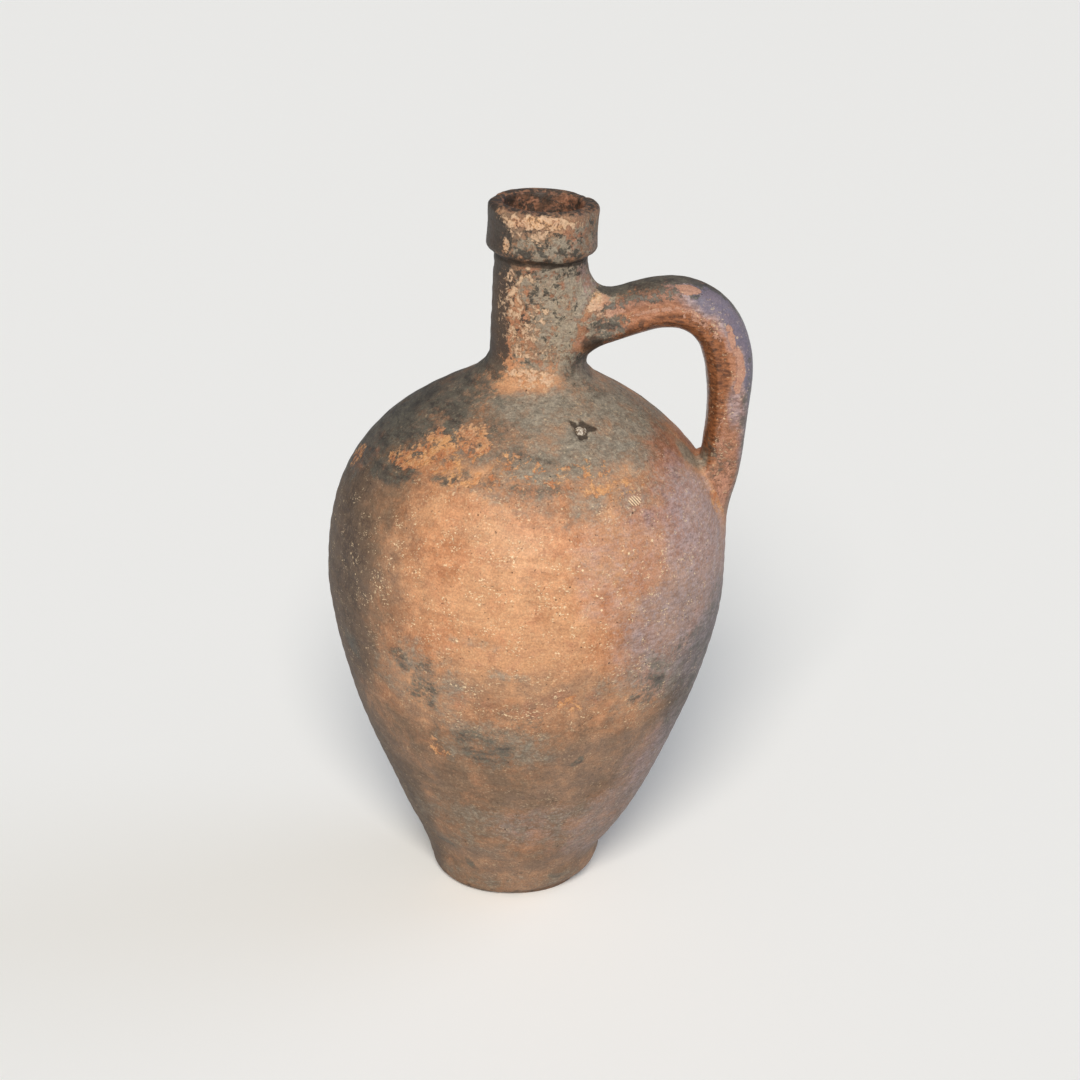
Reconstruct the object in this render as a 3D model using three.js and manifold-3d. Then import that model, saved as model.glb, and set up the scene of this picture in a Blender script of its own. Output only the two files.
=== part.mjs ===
// A tall one-handled earthenware jug, built the way a potter builds it: a foot, three thrown body
// sections, a neck and a collar rim stacked with flat butt joints on one axis, then a strap handle
// set on the neck and the shoulder with a band of soft clay (a lute) pressed round each end.
// Millimetres, +Z up. The origin is the centre of the resting face; the handle points along +X.
import * as THREE from "three";
import { mergeVertices } from "three/addons/utils/BufferGeometryUtils.js";
import Module from "manifold-3d";

const wasm = await Module();
wasm.setup();

// Driving dimensions.
const HEIGHT = 436;
const BELLY_RADIUS = 121.2;
const FOOT_RADIUS = 49;
const NECK_RADIUS = 27.4;
const COLLAR_RADIUS = 32.8;
const HANDLE_REACH = 128.3; // from the axis to the outermost point of the handle
const HANDLE_WIDTH = 33;
const HANDLE_THICKNESS = 26;
const WALL = 7.6;

// Heights of the joints between the stacked pieces, and of the features between them.
const FOOT_TOP = 20;
const BELLY_JOINT = 146;
const BELLY_HEIGHT = 204; // where the body is widest
const SHOULDER_JOINT = 271;
const SHOULDER_END = 324;
const NECK_BASE = 336;
const NECK_FILLET_END = 346;
const COLLAR_BASE = 405;

// Shape of the walls between those heights.
const WAIST_RADIUS = 55.5; // where the wall springs from the foot
const LOWER_WALL_POWER = 1.52; // nearly straight at the foot, curving in at the belly
const SHOULDER_RISE = 141.5; // height above the belly at which the shoulder curve would close
const SHOULDER_POWER = 3;
const FLOOR = 13;
const HEEL = 5.5; // round of the foot's lower edge
const COVE = 8; // round between the inner floor and the wall
const MOUTH_RADIUS = 23.5;
const GAP = 0.3; // between a piece and the neighbour that it was cut to fit

// Fineness of the turned and swept solids.
const TURNS = 48;
const RING_STEP = 16; // tallest band of a turned wall
const FILLET_STEP = 5;
const HANDLE_STEPS = 34;
const SECTION_SIDES = 16;

// ---- the outline of the body ----------------------------------------------------------------

const point = (radius, height) => new THREE.Vector2(radius, height);

function shoulderRadius(height) {
  const climb = (height - BELLY_HEIGHT) / SHOULDER_RISE;
  return BELLY_RADIUS * (1 - climb ** SHOULDER_POWER);
}

function lowerWallRadius(height) {
  const drop = (BELLY_HEIGHT - height) / (BELLY_HEIGHT - FOOT_TOP);
  return BELLY_RADIUS - (BELLY_RADIUS - WAIST_RADIUS) * drop ** LOWER_WALL_POWER;
}

// The hollow curve from the shoulder into the neck: one Bezier arc, tangent to both.
const neckFillet = new THREE.QuadraticBezierCurve(
  point(shoulderRadius(SHOULDER_END), SHOULDER_END),
  point(NECK_RADIUS, (SHOULDER_END + NECK_FILLET_END) / 2),
  point(NECK_RADIUS, NECK_FILLET_END),
);

// Its two end heights and its middle point are evenly spaced, so height runs evenly along it.
function outerRadius(height) {
  if (height <= BELLY_HEIGHT) return lowerWallRadius(Math.max(height, FOOT_TOP));
  if (height <= SHOULDER_END) return shoulderRadius(height);
  if (height >= NECK_FILLET_END) return NECK_RADIUS;
  const along = (height - SHOULDER_END) / (NECK_FILLET_END - SHOULDER_END);
  return neckFillet.getPoint(along).x;
}

// The inner face stays one wall thickness away, measured square to the wall.
function innerRadius(height) {
  const reach = 2;
  const slope = (outerRadius(height + reach) - outerRadius(height - reach)) / (2 * reach);
  return outerRadius(height) - WALL * Math.hypot(1, slope);
}

function evenly(from, to, step) {
  const count = Math.ceil((to - from) / step);
  return Array.from({ length: count + 1 }, (_, i) => from + ((to - from) * i) / count);
}

// Every turned wall has its rings at these heights, so that pieces which meet share their facets.
const ringHeights = [
  ...evenly(FOOT_TOP, BELLY_JOINT, RING_STEP),
  ...evenly(BELLY_JOINT, SHOULDER_JOINT, RING_STEP),
  ...evenly(SHOULDER_JOINT, SHOULDER_END, RING_STEP),
  ...evenly(SHOULDER_END, NECK_BASE, FILLET_STEP),
  ...evenly(NECK_BASE, NECK_FILLET_END, FILLET_STEP),
  COLLAR_BASE,
];

function heights(from, to) {
  const kept = ringHeights.filter((height) => height >= from && height <= to);
  return [...new Set([from, ...kept, to])];
}

// ---- solids ---------------------------------------------------------------------------------

// Turns a profile of (radius, height) points, listed bottom to top on its outside, round +Z.
function turned(profile, sides = TURNS) {
  return new THREE.LatheGeometry(profile, sides).rotateX(Math.PI / 2);
}

// A ring of wall between two flat joint faces.
function wallRing(from, to) {
  const outside = heights(from, to).map((height) => point(outerRadius(height), height));
  const inside = heights(from, to).map((height) => point(innerRadius(height), height));
  return turned([...outside, ...inside.reverse(), outside[0]]);
}

function solidOf(geometry) {
  const bare = geometry.clone();
  bare.deleteAttribute("normal");
  bare.deleteAttribute("uv");
  const merged = mergeVertices(bare, 1e-3);
  const mesh = new wasm.Mesh({
    numProp: 3,
    vertProperties: merged.attributes.position.array,
    triVerts: new Uint32Array(merged.index.array),
  });
  return new wasm.Manifold(mesh);
}

function geometryOf(solid) {
  const mesh = solid.getMesh();
  const geometry = new THREE.BufferGeometry();
  geometry.setAttribute("position", new THREE.BufferAttribute(mesh.vertProperties, 3));
  geometry.setIndex(new THREE.BufferAttribute(mesh.triVerts, 1));
  geometry.computeVertexNormals();
  return geometry;
}

// The filled jug, grown by the given amount: it trims whatever is set against the outside.
function filledJug(growth) {
  const levels = heights(FOOT_TOP, COLLAR_BASE);
  const side = levels.map((height) => point(outerRadius(height) + growth, height));
  return solidOf(turned([point(0, FOOT_TOP), ...side, point(0, COLLAR_BASE)]));
}

// ---- the stacked pieces ---------------------------------------------------------------------

function footGeometry() {
  const heel = new THREE.EllipseCurve(FOOT_RADIUS - HEEL, HEEL, HEEL, HEEL, -Math.PI / 2, 0);
  const coveMiddle = innerRadius(FOOT_TOP) - COVE;
  const cove = new THREE.EllipseCurve(coveMiddle, FLOOR + COVE, COVE, COVE, 0, -Math.PI / 2, true);
  return turned([
    point(0, 0),
    ...heel.getPoints(4),
    point(WAIST_RADIUS, FOOT_TOP),
    point(innerRadius(FOOT_TOP), FOOT_TOP),
    ...cove.getPoints(3),
    point(0, FLOOR),
  ]);
}

// The band round the mouth: undercut where it meets the neck, fullest at the shelf, a little hollow
// above it, with a round lip; inside, the mouth narrows to the bore of the neck.
function collarGeometry() {
  const undercutRadius = NECK_RADIUS + 0.8;
  const shelf = COLLAR_BASE + 7;
  const shelfRound = 1.2;
  const hollow = 0.4;
  const lipRound = 3.5;
  const bevelDepth = 3; // of the inner edge of the mouth
  const bevelWidth = 2;
  const lipMiddle = COLLAR_RADIUS - lipRound;
  const lip = new THREE.EllipseCurve(lipMiddle, HEIGHT - lipRound, lipRound, lipRound, 0, Math.PI / 2);
  const outside = [
    point(undercutRadius, COLLAR_BASE),
    point(COLLAR_RADIUS - shelfRound, (COLLAR_BASE + shelf) / 2),
    point(COLLAR_RADIUS, shelf),
    point(COLLAR_RADIUS - hollow, (shelf + HEIGHT) / 2),
    ...lip.getPoints(3),
  ];
  const inside = [
    point(MOUTH_RADIUS + bevelWidth, HEIGHT),
    point(MOUTH_RADIUS, HEIGHT - bevelDepth),
    point(NECK_RADIUS - WALL, COLLAR_BASE),
  ];
  return turned([...outside, ...inside, outside[0]]);
}

// ---- the handle and the clay that holds it ----------------------------------------------------

// The middle line of the strap, in the plane of the handle: out of the neck, over the arch,
// down the grip and into the shoulder.
const GRIP_X = HANDLE_REACH - HANDLE_THICKNESS / 2;
const STRAP_ROOT_HEIGHT = 363;
const STRAP_RISE = THREE.MathUtils.degToRad(19); // of the strap where it leaves the neck
const handleLine = new THREE.CatmullRomCurve3(
  [
    [14, STRAP_ROOT_HEIGHT - 5],
    [28, STRAP_ROOT_HEIGHT],
    [44, 369],
    [58, 374.5],
    [72, 378.5],
    [86, 378.5],
    [98, 373.5],
    [107.5, 363],
    [113, 349.5],
    [GRIP_X - 0.5, 336],
    [GRIP_X, 318],
    [GRIP_X - 0.6, 299],
    [GRIP_X - 2.6, 278],
    [GRIP_X - 6.5, 258],
    [GRIP_X - 10, 240],
    [GRIP_X - 13, 222],
  ].map(([x, z]) => new THREE.Vector3(x, 0, z)),
  false,
  "centripetal",
);

// A rounded rectangle's section: x is its width, y its thickness.
function strapSection(growth) {
  const squareness = 2.8;
  const bend = (value) => Math.sign(value) * Math.abs(value) ** (2 / squareness);
  const corners = Array.from({ length: SECTION_SIDES }, (_, i) => {
    const angle = (2 * Math.PI * i) / SECTION_SIDES;
    return point(
      (HANDLE_WIDTH / 2 + growth) * bend(Math.cos(angle)),
      (HANDLE_THICKNESS / 2 + growth) * bend(Math.sin(angle)),
    );
  });
  return new THREE.Shape(corners);
}

function strap(growth) {
  const options = { steps: HANDLE_STEPS, bevelEnabled: false, extrudePath: handleLine };
  return solidOf(new THREE.ExtrudeGeometry(strapSection(growth), options));
}

// A trumpet of clay round the strap where it leaves the neck, square to the strap.
function neckLute() {
  const length = 15;
  const buried = 20; // inside the neck, so that the trimmed lute wraps round it
  const endRadius = 16.4;
  const mouthRadius = 23.5;
  const squash = 0.9; // the trumpet is wider than it is tall
  const flank = new THREE.QuadraticBezierCurve(
    point(mouthRadius, 0),
    point(endRadius + 1, 3),
    point(endRadius, length),
  );
  const profile = [
    point(0, -buried),
    point(mouthRadius, -buried),
    ...flank.getPoints(6),
    point(0, length),
  ];
  const trumpet = turned(profile, 32).scale(squash, 1, 1);
  trumpet.rotateY(Math.PI / 2 - STRAP_RISE).translate(NECK_RADIUS, 0, STRAP_ROOT_HEIGHT);
  return solidOf(trumpet);
}

// A pad of clay that follows the shoulder round the foot of the strap, thickest in the middle and
// fading out to all sides.
function shoulderLute() {
  const middle = 258;
  const halfHeight = 34;
  const thickness = 7;
  const narrowing = 0.6; // squeezing the turned pad sideways makes it fade out round the body
  const top = middle + halfHeight;
  const bottom = middle - halfHeight;
  const padRadius = (height) =>
    outerRadius(height) + thickness * (1 - ((height - middle) / halfHeight) ** 2);
  const side = heights(bottom, top).map((height) => point(padRadius(height), height));
  const padded = turned([point(0, bottom), ...side, point(0, top)]).scale(1, narrowing, 1);
  const handleSide = new THREE.BoxGeometry(BELLY_RADIUS, BELLY_RADIUS, 3 * halfHeight);
  handleSide.translate(BELLY_RADIUS, 0, middle);
  return solidOf(padded).intersect(solidOf(handleSide));
}

// A small hard bead of filler in a pit on the shoulder, sunk two thirds of its depth into the wall.
const PLUG_RADIUS = 3.2;
const PLUG_HEIGHT = 315;
const PLUG_AZIMUTH = THREE.MathUtils.degToRad(-63.5);

function plugGeometry(growth) {
  const bead = new THREE.SphereGeometry(PLUG_RADIUS + growth, 14, 10);
  const radius = outerRadius(PLUG_HEIGHT) - PLUG_RADIUS / 2;
  const x = radius * Math.cos(PLUG_AZIMUTH);
  const y = radius * Math.sin(PLUG_AZIMUTH);
  return bead.translate(x, y, PLUG_HEIGHT);
}

// ---- assembly ---------------------------------------------------------------------------------

const jug = filledJug(GAP);
const strapWithGap = strap(GAP);

const handleGeometry = geometryOf(strap(0).subtract(jug));
const neckLuteGeometry = geometryOf(neckLute().subtract(jug).subtract(strapWithGap));
const shoulderLuteGeometry = geometryOf(shoulderLute().subtract(jug).subtract(strapWithGap));
const shoulderGeometry = geometryOf(
  solidOf(wallRing(SHOULDER_JOINT, NECK_BASE)).subtract(solidOf(plugGeometry(GAP))),
);

// The colour and the roughness of each piece: fired clay, and the pale filler of the plug.
const looks = {
  foot: ["#6f5844", 0.85],
  lower_body: ["#8a5a3e", 0.8],
  belly: ["#a0643f", 0.8],
  shoulder: ["#6b6152", 0.82],
  neck: ["#86664c", 0.85],
  rim_collar: ["#5b5149", 0.85],
  handle: ["#7a4f34", 0.6],
  handle_neck_lute: ["#8b5c40", 0.75],
  handle_shoulder_lute: ["#7d5642", 0.75],
  shoulder_plug: ["#c9c2b4", 0.4],
};

function piece(name, geometry) {
  const [color, roughness] = looks[name];
  const material = new THREE.MeshStandardMaterial({ color, roughness, metalness: 0 });
  const mesh = new THREE.Mesh(geometry, material);
  mesh.name = name;
  return mesh;
}

const group = new THREE.Group();
group.add(
  piece("foot", footGeometry()),
  piece("lower_body", wallRing(FOOT_TOP, BELLY_JOINT)),
  piece("belly", wallRing(BELLY_JOINT, SHOULDER_JOINT)),
  piece("shoulder", shoulderGeometry),
  piece("neck", wallRing(NECK_BASE, COLLAR_BASE)),
  piece("rim_collar", collarGeometry()),
  piece("handle", handleGeometry),
  piece("handle_neck_lute", neckLuteGeometry),
  piece("handle_shoulder_lute", shoulderLuteGeometry),
  piece("shoulder_plug", plugGeometry(0)),
);

export default group;
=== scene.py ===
"""An old one-handled earthenware jug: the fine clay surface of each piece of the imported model."""

import math

import bpy
import numpy as np
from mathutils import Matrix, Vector


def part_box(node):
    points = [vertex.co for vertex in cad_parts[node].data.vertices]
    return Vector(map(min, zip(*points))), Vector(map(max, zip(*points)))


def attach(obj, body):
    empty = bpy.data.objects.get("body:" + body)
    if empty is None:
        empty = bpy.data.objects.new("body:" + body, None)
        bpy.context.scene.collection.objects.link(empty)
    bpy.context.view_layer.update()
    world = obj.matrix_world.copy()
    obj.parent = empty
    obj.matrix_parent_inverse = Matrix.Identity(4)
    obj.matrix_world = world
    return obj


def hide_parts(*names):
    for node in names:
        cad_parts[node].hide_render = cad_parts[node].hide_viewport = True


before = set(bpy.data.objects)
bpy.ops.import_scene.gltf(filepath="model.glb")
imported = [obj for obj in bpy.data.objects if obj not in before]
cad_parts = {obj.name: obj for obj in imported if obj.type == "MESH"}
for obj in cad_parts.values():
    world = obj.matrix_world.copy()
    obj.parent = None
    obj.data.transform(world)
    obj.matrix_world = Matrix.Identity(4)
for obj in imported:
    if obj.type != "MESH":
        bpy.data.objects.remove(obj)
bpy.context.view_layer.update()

MM = 0.001

# ---- sizes and places ----

# Read from the boxes of the frame.
FOOT_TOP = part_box("foot")[1][2]
BELLY_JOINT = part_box("lower_body")[1][2]
SHOULDER_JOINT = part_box("belly")[1][2]
NECK_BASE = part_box("shoulder")[1][2]
COLLAR_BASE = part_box("rim_collar")[0][2]
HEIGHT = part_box("rim_collar")[1][2]
BELLY_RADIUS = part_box("belly")[1][1]
COLLAR_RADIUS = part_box("rim_collar")[1][1]
HANDLE_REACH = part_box("handle")[1][0]
STRAP_HALF_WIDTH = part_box("handle")[1][1]

# In proportion to the height, or small enough to give in mm.
FOOT_RADIUS = 0.1124 * HEIGHT
WAIST_RADIUS = 0.1273 * HEIGHT
NECK_RADIUS = 0.0631 * HEIGHT
MOUTH_RADIUS = 0.0539 * HEIGHT
BELLY_HEIGHT = 0.4679 * HEIGHT
SHOULDER_END = 0.7431 * HEIGHT
SHOULDER_RISE = 0.3245 * HEIGHT
NECK_FILLET_END = 0.7936 * HEIGHT
PLUG_HEIGHT = 0.7225 * HEIGHT
WALL = 7.6 * MM
FLOOR_LEVEL = 13 * MM
FLOOR_COVE = 6 * MM
SQUARENESS = 2.7
RIDGE_RISE = 1.3 * MM
RIDGE_SPREAD = 0.15
GRIP_HALF_THICKNESS = 12.2 * MM
ARCH_HALF_THICKNESS = 14.6 * MM
HEEL = 5.5 * MM
SEAM_DEPTH = 0.5 * MM
NECK_LUTE_SHARE = 0.1
SHOULDER_LUTE_SHARE = 0.73
MOUTH_BORE = NECK_RADIUS - WALL
PIT_RADIUS = 5.5 * MM
PIT_RIM_RADIUS = 9 * MM
PIT_RIM_WIDTH = 2.5 * MM

# How finely the meshes are drawn.
AROUND_BODY = 512
AROUND_NECK = 320
AROUND_STRAP = 112
OUTER_STEP = 1.5 * MM
COLLAR_STEP = 1 * MM
INNER_STEP = 6 * MM
STRAP_STEP = 1.2 * MM

# Where something scraped the shoulder: degrees round from the front towards the handle, height,
# spacing and slant of the strokes, and half of their oval's width, height and depth.
SCRAPE_AZIMUTH = 37
SCRAPE_HEIGHT = 0.648 * HEIGHT
SCRAPE_SPACING = 1.9 * MM
SCRAPE_SLANT = 0.7
SCRAPE_HALF_SIZES = (4.6 * MM, 2.6 * MM, 6 * MM)


# ---- smooth random fields ----

# Large primes that scatter neighbouring cells and seeds far apart.
CELL_PRIMES = (374761393, 668265263, 2147483647)
SEED_PRIME = 974711
STIR_PRIME = 1274126177
LOW_BITS = 0xFFFFFF


def lattice_value(cells, seed):
    """A repeatable random value, 0 to 1, for each whole-numbered cell."""
    mixed = sum(cells[..., axis] * prime for axis, prime in enumerate(CELL_PRIMES)) + seed * SEED_PRIME
    mixed = (mixed ^ (mixed >> 13)) * STIR_PRIME
    mixed = mixed ^ (mixed >> 16)
    return (mixed & LOW_BITS) / LOW_BITS


def noise(points, size, seed=0):
    """Smooth noise from -1 to 1 with features of the given size."""
    scaled = points / size + 1000.0
    base = np.floor(scaled).astype(np.int64)
    part = scaled - base
    part = part * part * part * (part * (part * 6 - 15) + 10)
    total = np.zeros(points.shape[:-1])
    for dx in (0, 1):
        for dy in (0, 1):
            for dz in (0, 1):
                weight = (
                    (part[..., 0] if dx else 1 - part[..., 0])
                    * (part[..., 1] if dy else 1 - part[..., 1])
                    * (part[..., 2] if dz else 1 - part[..., 2])
                )
                total += weight * lattice_value(base + np.array([dx, dy, dz]), seed)
    return 2 * total - 1


def rough_noise(points, size, seed=0, layers=4):
    """Noise with finer and finer layers on top of each other."""
    total = np.zeros(points.shape[:-1])
    for layer in range(layers):
        total += noise(points, size / 2**layer, seed + layer) / 2**layer
    return total / (2 - 2.0 ** (1 - layers))


def smoothstep(low, high, value):
    part = np.clip((value - low) / (high - low), 0, 1)
    return part * part * (3 - 2 * part)


# ---- the outline of the jug ----

def lower_wall_radius(height):
    drop = np.clip((BELLY_HEIGHT - height) / (BELLY_HEIGHT - FOOT_TOP), 0, None)
    waist_tuck = 1.3 * MM * np.exp(-(((height - FOOT_TOP - 10 * MM) / (14 * MM)) ** 2))
    return BELLY_RADIUS - (BELLY_RADIUS - WAIST_RADIUS) * drop**1.52 - waist_tuck


def shoulder_radius(height):
    climb = np.clip((height - BELLY_HEIGHT) / SHOULDER_RISE, 0, None)
    return BELLY_RADIUS * (1 - climb**3)


def fillet_radius(height):
    """The hollow curve between shoulder and neck, a Bezier arc evenly spaced in height."""
    along = np.clip((height - SHOULDER_END) / (NECK_FILLET_END - SHOULDER_END), 0, 1)
    start = shoulder_radius(SHOULDER_END)
    return (1 - along) ** 2 * start + (1 - (1 - along) ** 2) * NECK_RADIUS


def foot_radius(height):
    up = np.clip(height / FOOT_TOP, 0, 1)
    drop = np.clip(1 - height / HEEL, 0, 1)
    upstand = FOOT_RADIUS + (lower_wall_radius(FOOT_TOP) - FOOT_RADIUS) * up
    return upstand - HEEL * (1 - np.sqrt(1 - drop**2))


def outer_radius(height):
    height = np.asarray(height, dtype=float)
    radius = np.where(height < BELLY_HEIGHT, lower_wall_radius(height), shoulder_radius(height))
    radius = np.where(height > SHOULDER_END, fillet_radius(height), radius)
    return np.where(height < FOOT_TOP, foot_radius(height), radius)


def from_axis(points):
    return np.hypot(points[..., 0], points[..., 1])


def azimuth_of(points):
    """Degrees round from the front towards the handle."""
    return np.degrees(np.arctan2(points[..., 0], -points[..., 1]))


def outer_slope(height):
    reach = 1 * MM
    return (outer_radius(height + reach) - outer_radius(height - reach)) / (2 * reach)


def inner_radius(height):
    return outer_radius(height) - WALL * np.hypot(1, outer_slope(height))


def plug_place():
    """Where the middle of the plugged hole meets the outside of the shoulder, and the way it faces."""
    low, high = (np.array(corner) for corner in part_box("shoulder_plug"))
    middle = (low + high) / 2
    turn = math.atan2(middle[1], middle[0])
    radius = float(outer_radius(PLUG_HEIGHT))
    facing = np.array([math.cos(turn), math.sin(turn), -float(outer_slope(PLUG_HEIGHT))])
    place = np.array([radius * math.cos(turn), radius * math.sin(turn), PLUG_HEIGHT])
    return place, facing / np.linalg.norm(facing)


PLUG_PLACE, PLUG_FACING = plug_place()


# ---- the strap handle ----

# The strap's middle line, from the neck over the arch: distance out and height, in mm.
ARCH_KNOTS = (
    (21.5, 361.8),
    (28, 363),
    (44, 369),
    (58, 374.5),
    (72, 378.5),
    (86, 378.5),
    (98, 373.5),
    (108, 363),
    (113.5, 349.5),
)
# Then down the grip: how far in from its outermost middle line, and height, in mm.
GRIP_KNOTS = ((0.5, 336), (0, 318), (0.6, 299), (2.6, 278), (7, 258), (11, 240), (14, 222))
GRIP_X = HANDLE_REACH - GRIP_HALF_THICKNESS
STRAP_ROUTE = np.array(
    [(out * MM, height * MM) for out, height in ARCH_KNOTS]
    + [(GRIP_X - inset * MM, height * MM) for inset, height in GRIP_KNOTS]
)


def smooth_route(knots, step):
    """Even steps along a centripetal Catmull-Rom curve through the knots."""
    ends = np.vstack([2 * knots[0] - knots[1], knots, 2 * knots[-1] - knots[-2]])
    spans = []
    for p0, p1, p2, p3 in zip(ends, ends[1:], ends[2:], ends[3:]):
        t1 = math.sqrt(np.linalg.norm(p1 - p0))
        t2 = t1 + math.sqrt(np.linalg.norm(p2 - p1))
        t3 = t2 + math.sqrt(np.linalg.norm(p3 - p2))
        t = np.linspace(t1, t2, 40, endpoint=False)[:, None]
        a1 = (t1 - t) / t1 * p0 + t / t1 * p1
        a2 = (t2 - t) / (t2 - t1) * p1 + (t - t1) / (t2 - t1) * p2
        a3 = (t3 - t) / (t3 - t2) * p2 + (t - t2) / (t3 - t2) * p3
        b1 = (t2 - t) / t2 * a1 + t / t2 * a2
        b2 = (t3 - t) / (t3 - t1) * a2 + (t - t1) / (t3 - t1) * a3
        spans.append((t2 - t) / (t2 - t1) * b1 + (t - t1) / (t2 - t1) * b2)
    fine = np.vstack([*spans, knots[-1:]])
    gone = np.concatenate([[0], np.cumsum(np.linalg.norm(np.diff(fine, axis=0), axis=1))])
    even = np.linspace(0, gone[-1], int(gone[-1] / step) + 1)
    return even, np.stack([np.interp(even, gone, fine[:, i]) for i in (0, 1)], axis=1)


STRAP_ALONG, STRAP_MIDDLE = smooth_route(STRAP_ROUTE, STRAP_STEP)
STRAP_TANGENT = np.gradient(STRAP_MIDDLE, axis=0)
STRAP_TANGENT /= np.linalg.norm(STRAP_TANGENT, axis=1)[:, None]
STRAP_OUTWARD = np.stack([-STRAP_TANGENT[:, 1], STRAP_TANGENT[:, 0]], axis=1)


def strap_section_radius(angle, along):
    """Reach of the strap's section from its middle line. Angle 0 faces -Y, a quarter turn faces
    outward, away from the fingers. The section is a rounded rectangle with a soft ridge low on
    each side face, thicker over the arch than down the grip."""
    grip_share = smoothstep(105 * MM, 150 * MM, along)
    thickness = ARCH_HALF_THICKNESS + (GRIP_HALF_THICKNESS - ARCH_HALF_THICKNESS) * grip_share
    sideways = np.abs(np.cos(angle) / STRAP_HALF_WIDTH) ** SQUARENESS
    outward = np.abs(np.sin(angle) / thickness) ** SQUARENESS
    reach = (sideways + outward) ** (-1 / SQUARENESS)
    ridge = 0.0
    for centre in (math.radians(-24), math.radians(204)):
        apart = np.angle(np.exp(1j * (angle - centre)))
        ridge = ridge + RIDGE_RISE * np.exp(-np.abs(apart / RIDGE_SPREAD) ** 1.5)
    return reach + ridge


def strap_coordinates(points):
    """For each point: index of the nearest step of the middle line, angle and distance about it,
    and how far it lies past either end."""
    flat = points.reshape(-1, 3)
    nearest = np.empty(len(flat), dtype=int)
    for start in range(0, len(flat), 20000):
        block = flat[start : start + 20000][:, None, [0, 2]]
        nearest[start : start + 20000] = np.argmin(((block - STRAP_MIDDLE[None]) ** 2).sum(-1), axis=1)
    away = flat[:, [0, 2]] - STRAP_MIDDLE[nearest]
    outward = (away * STRAP_OUTWARD[nearest]).sum(-1)
    sideways = -flat[:, 1]
    past_end = np.clip(np.abs((away * STRAP_TANGENT[nearest]).sum(-1)) - STRAP_STEP, 0, None)
    shape = points.shape[:-1]
    return (
        nearest.reshape(shape),
        np.arctan2(outward, sideways).reshape(shape),
        np.hypot(outward, sideways).reshape(shape),
        past_end.reshape(shape),
    )


def strap_distance(points):
    nearest, angle, reach, past_end = strap_coordinates(points)
    beside = reach - strap_section_radius(angle, STRAP_ALONG[nearest])
    return np.where(past_end > 0, np.hypot(np.clip(beside, 0, None), past_end), beside), nearest, angle


def jug_distance(points):
    height = points[..., 2]
    return (from_axis(points) - outer_radius(height)) / np.hypot(1, outer_slope(height))


def blend_width(nearest, angle):
    """How far the smeared clay reaches: wide on top of the neck root and down the tail, narrow in
    the creases on the finger side."""
    outward = 0.5 + 0.5 * np.sin(angle)
    at_neck = (15 - outward + 12 * outward**3) * MM
    at_shoulder = (5 + 8 * outward * (1 - outward) * 2 + 3 * outward) * MM
    share = smoothstep(0.35, 0.6, nearest / len(STRAP_ALONG))
    return at_neck * (1 - share) + at_shoulder * share


def blended_distance(points):
    to_strap, nearest, angle = strap_distance(points)
    to_jug = jug_distance(points)
    width = blend_width(nearest, angle)
    overlap = np.clip(width - np.abs(to_strap - to_jug), 0, None) / width
    return np.minimum(to_strap, to_jug) - overlap**2 * width / 4


def pushed_out(points, direction, furthest, rounds=14):
    """Moves points along their directions until they lie on the blended surface."""
    moved = np.zeros(points.shape[:-1])
    for _ in range(rounds):
        gap = blended_distance(points + moved[..., None] * direction)
        moved = np.clip(moved - gap, 0, furthest)
    return points + moved[..., None] * direction


# ---- what lies on the clay, with the painted shade and sheen ----

FILMS = ("soot", "ash", "bloom")
WEAR = ("bare", "drab", "rust")
MARKS = ("polish", "dirt", "cream")
CHANNELS = FILMS + WEAR + MARKS

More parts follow.
